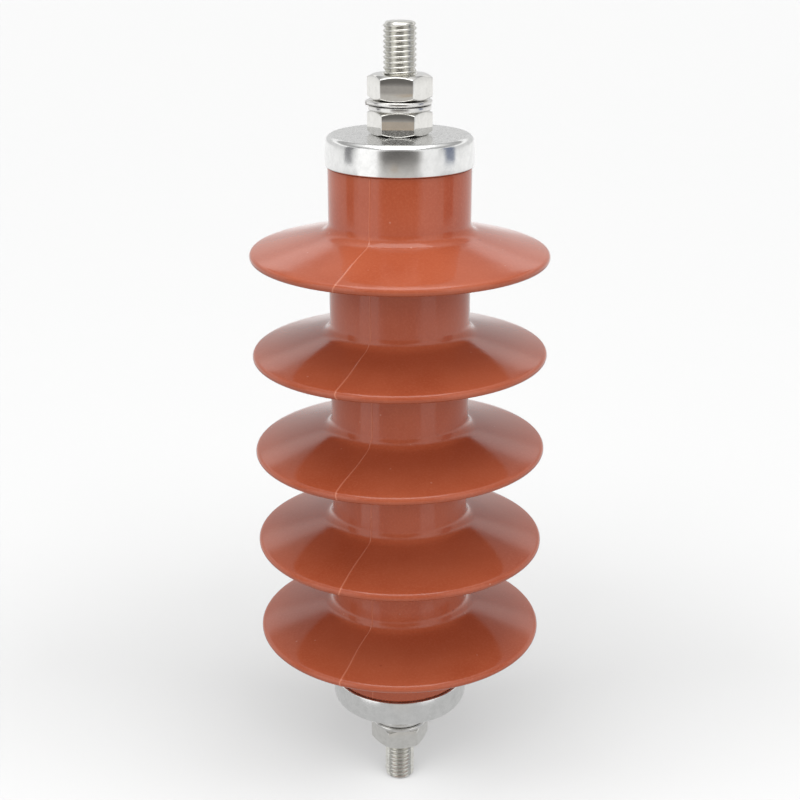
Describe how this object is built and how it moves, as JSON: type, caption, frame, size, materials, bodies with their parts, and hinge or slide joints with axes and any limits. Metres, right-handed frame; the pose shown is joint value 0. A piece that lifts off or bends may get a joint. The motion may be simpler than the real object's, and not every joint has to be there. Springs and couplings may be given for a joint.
{
  "type": "surge arrester",
  "caption": "Polymer-housed surge arrester for power lines: a silicone rubber body with round sheds between metal end caps, with a threaded stud, nuts and washers at each end.",
  "frame": {"origin": "on the arrester's axis at the outer face of the earth-end terminal nut, where the free earth stud begins", "axes": "+Z along the axis from the earth end up to the line end; the front of the object looks along -Y, +X is to its right"},
  "size_m": [0.092, 0.092, 0.2561],
  "materials": {
    "silicone_rubber": "satin",
    "glass_fibre": "satin",
    "zinc_oxide": "matte",
    "contact_metal": "satin",
    "electrode_alloy": "satin",
    "spring_steel": "satin",
    "copper": "satin",
    "seal_rubber": "matte",
    "gasket_rubber": "matte",
    "cap_steel": "polished",
    "stud_steel": "satin",
    "nut_steel": "satin",
    "washer_steel": "satin"
  },
  "bodies": {
    "arrester": {"silicone_housing": "silicone_rubber", "glass_fibre_tube": "glass_fibre", "pressure_plate": "electrode_alloy", "pressure_spring": "spring_steel", "shunt_strap": "copper", "line_electrode": "electrode_alloy", "earth_electrode": "electrode_alloy", "line_o_ring": "seal_rubber", "earth_o_ring": "seal_rubber", "line_gasket": "gasket_rubber", "earth_gasket": "gasket_rubber", "line_end_cap": "cap_steel", "earth_end_cap": "cap_steel", "line_stud": "stud_steel", "earth_stud": "stud_steel", "line_base_nut": "nut_steel", "earth_base_nut": "nut_steel", "varistor_block_1": "zinc_oxide", "varistor_block_2": "zinc_oxide", "varistor_block_3": "zinc_oxide", "varistor_block_4": "zinc_oxide", "varistor_block_5": "zinc_oxide", "contact_disc_1": "contact_metal", "contact_disc_2": "contact_metal", "contact_disc_3": "contact_metal", "contact_disc_4": "contact_metal", "contact_disc_5": "contact_metal", "contact_disc_6": "contact_metal"},
    "line_washers": {"line_flat_washer": "washer_steel", "line_spring_washer": "washer_steel"},
    "line_nut": {"line_terminal_nut": "nut_steel"},
    "earth_washers": {"earth_flat_washer": "washer_steel", "earth_spring_washer": "washer_steel"},
    "earth_nut": {"earth_terminal_nut": "nut_steel"}
  },
  "joints": [
    {"name": "line_washer_lift", "type": "slide", "parent": "arrester", "child": "line_washers", "axis": [0, 0, 1], "range_m": [0, 0.0135]},
    {"name": "line_nut_turn", "type": "hinge", "parent": "line_washers", "child": "line_nut", "pos_m": [0, 0, 0.2259], "axis": [0, 0, 1], "range_deg": [0, 3240]},
    {"name": "earth_washer_drop", "type": "slide", "parent": "arrester", "child": "earth_washers", "axis": [0, 0, -1], "range_m": [0, 0.0135]},
    {"name": "earth_nut_turn", "type": "hinge", "parent": "earth_washers", "child": "earth_nut", "pos_m": [0, 0, 0], "axis": [0, 0, -1], "range_deg": [0, 3240]}
  ],
  "couplings": [
    {"joint": "line_washer_lift", "follows": "line_nut_turn", "m_per_rad": 0.00023873},
    {"joint": "earth_washer_drop", "follows": "earth_nut_turn", "m_per_rad": 0.00023873}
  ]
}
